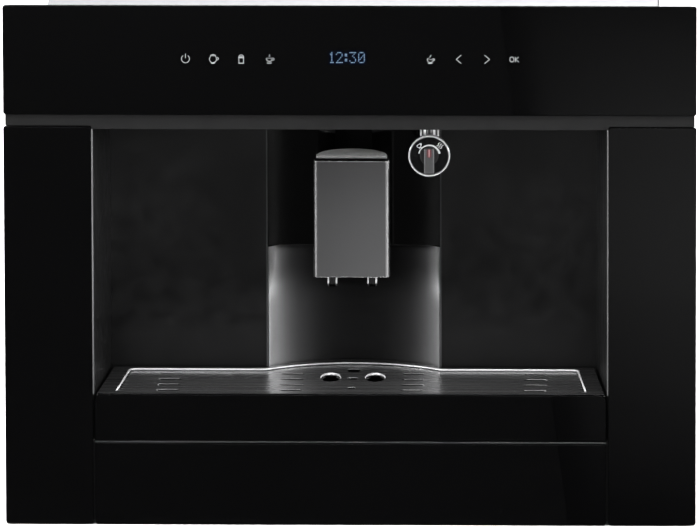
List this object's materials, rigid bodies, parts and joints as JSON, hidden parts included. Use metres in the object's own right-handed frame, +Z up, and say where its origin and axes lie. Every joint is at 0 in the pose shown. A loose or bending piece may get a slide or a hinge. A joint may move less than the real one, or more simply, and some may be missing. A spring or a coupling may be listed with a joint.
{
  "type": "built-in coffee machine",
  "caption": "Compact built-in coffee machine with a black glass front, height-adjustable dispenser, drip drawer and pull-out slides.",
  "frame": {"origin": "centre of the footprint, at niche floor level", "axes": "+X to the right seen from the front, +Y from the front into the niche, +Z up"},
  "size_m": [0.595, 0.4, 0.455],
  "materials": {
    "black_glass": "gloss black, back-painted",
    "carrier_plastic": "fine grained",
    "bay_plastic": "satin",
    "gloss_cover": "gloss",
    "trim_metal": "anodised",
    "satin_steel": "satin, dark",
    "grid_steel": "brushed across",
    "dispenser_metal": "fine satin",
    "cap_plastic": "satin",
    "chrome": "polished",
    "dial_black": "gloss",
    "lever_plastic": "satin",
    "black_plastic": "fine grained",
    "galvanised": "galvanised sheet",
    "slide_steel": "zinc plated",
    "glide_plastic": "smooth",
    "tank_plastic": "clear smoky",
    "smoke_lid": "smoky",
    "board_green": "lacquered",
    "display_blue": "lit",
    "cast_aluminium": "cast",
    "pump_metal": "plated",
    "rubber": "matt",
    "switch_plastic": "gloss"
  },
  "bodies": {
    "cabinet_rails": {"mounting_frame": "slide_steel", "rail_outer_members": "slide_steel"},
    "slide_middle": {"rail_middle_members": "slide_steel", "rail_glides": "glide_plastic"},
    "machine": {"front_carrier": "carrier_plastic", "control_glass": "black_glass", "column_glass_left": "black_glass", "column_glass_right": "black_glass", "lower_glass": "black_glass", "bay_trims": "trim_metal", "floor_trim": "trim_metal", "touch_board": "board_green", "display_module": "display_blue", "bay_wall_left": "bay_plastic", "bay_wall_right": "bay_plastic", "bay_back_panels": "bay_plastic", "bay_ceiling": "bay_plastic", "bay_floor": "black_plastic", "upper_cover": "gloss_cover", "splash_panel": "satin_steel", "guide_rods": "chrome", "steam_collar": "chrome", "valve_body": "black_plastic", "selector_dial": "dial_black", "selector_ring": "chrome", "base_tray": "galvanised", "side_panels": "galvanised", "panel_screws": "slide_steel", "rear_panel": "galvanised", "top_panel": "galvanised", "bulkhead": "galvanised", "brew_unit": "black_plastic", "bean_hopper": "tank_plastic", "ground_chute": "black_plastic", "grinder": "black_plastic", "tank_seat": "black_plastic", "boiler": "cast_aluminium", "pump": "pump_metal", "pump_cradle": "rubber", "steam_pipe": "chrome", "control_board": "board_green", "mains_inlet": "black_plastic", "switch_body": "switch_plastic", "rail_inner_members": "slide_steel"},
    "dispenser": {"dispenser_front": "dispenser_metal", "dispenser_core": "black_plastic", "dispenser_cap": "cap_plastic", "coffee_spouts": "chrome", "dispenser_carriage": "black_plastic"},
    "selector": {"selector_lever": "lever_plastic"},
    "drawer": {"tray_front_glass": "black_glass", "drip_tray": "black_plastic"},
    "grid": {"cup_grid": "grid_steel"},
    "grounds": {"grounds_container": "black_plastic"},
    "tank": {"water_tank": "tank_plastic"},
    "tank_cover": {"tank_lid": "smoke_lid"},
    "hopper_cover": {"hopper_lid": "smoke_lid"},
    "chute_cover": {"chute_lid": "smoke_lid"},
    "adjuster": {"grind_adjuster": "black_plastic"},
    "rocker": {"switch_rocker": "switch_plastic"}
  },
  "joints": [
    {"name": "machine_slide", "type": "slide", "parent": "cabinet_rails", "child": "machine", "axis": [0, -1, 0], "range_m": [0, 0.3]},
    {"name": "slide_middle_travel", "type": "slide", "parent": "cabinet_rails", "child": "slide_middle", "axis": [0, -1, 0], "range_m": [0, 0.15]},
    {"name": "dispenser_height", "type": "slide", "parent": "machine", "child": "dispenser", "axis": [0, 0, 1], "range_m": [-0.036, 0.028]},
    {"name": "selector_turn", "type": "hinge", "parent": "machine", "child": "selector", "pos_m": [0.067, -0.141, 0.3142], "axis": [0, 1, 0], "range_deg": [-45, 45]},
    {"name": "drip_drawer", "type": "slide", "parent": "machine", "child": "drawer", "axis": [0, -1, 0], "range_m": [0, 0.28]},
    {"name": "grid_lift", "type": "slide", "parent": "drawer", "child": "grid", "axis": [0, 0, 1], "range_m": [0, 0.03]},
    {"name": "grounds_lift", "type": "slide", "parent": "drawer", "child": "grounds", "axis": [0, 0, 1], "range_m": [0, 0.03]},
    {"name": "tank_lift", "type": "slide", "parent": "machine", "child": "tank", "axis": [0, 0, 1], "range_m": [0, 0.22]},
    {"name": "tank_lid_hinge", "type": "hinge", "parent": "tank", "child": "tank_cover", "pos_m": [0.198, 0.147, 0.4426], "axis": [-1, 0, 0], "range_deg": [0, 95]},
    {"name": "hopper_lid_hinge", "type": "hinge", "parent": "machine", "child": "hopper_cover", "pos_m": [-0.1675, 0.135, 0.4442], "axis": [-1, 0, 0], "range_deg": [0, 95]},
    {"name": "chute_lid_hinge", "type": "hinge", "parent": "machine", "child": "chute_cover", "pos_m": [0, 0.049, 0.4442], "axis": [-1, 0, 0], "range_deg": [0, 95]},
    {"name": "grind_adjust", "type": "hinge", "parent": "machine", "child": "adjuster", "pos_m": [-0.06, 0.09, 0.44], "axis": [0, 0, 1], "range_deg": [-120, 120]},
    {"name": "main_switch", "type": "hinge", "parent": "machine", "child": "rocker", "pos_m": [0.206, -0.16, 0.438], "axis": [-1, 0, 0], "range_deg": [0, 18]}
  ],
  "couplings": [
    {"joint": "slide_middle_travel", "follows": "machine_slide", "ratio": 0.5}
  ]
}
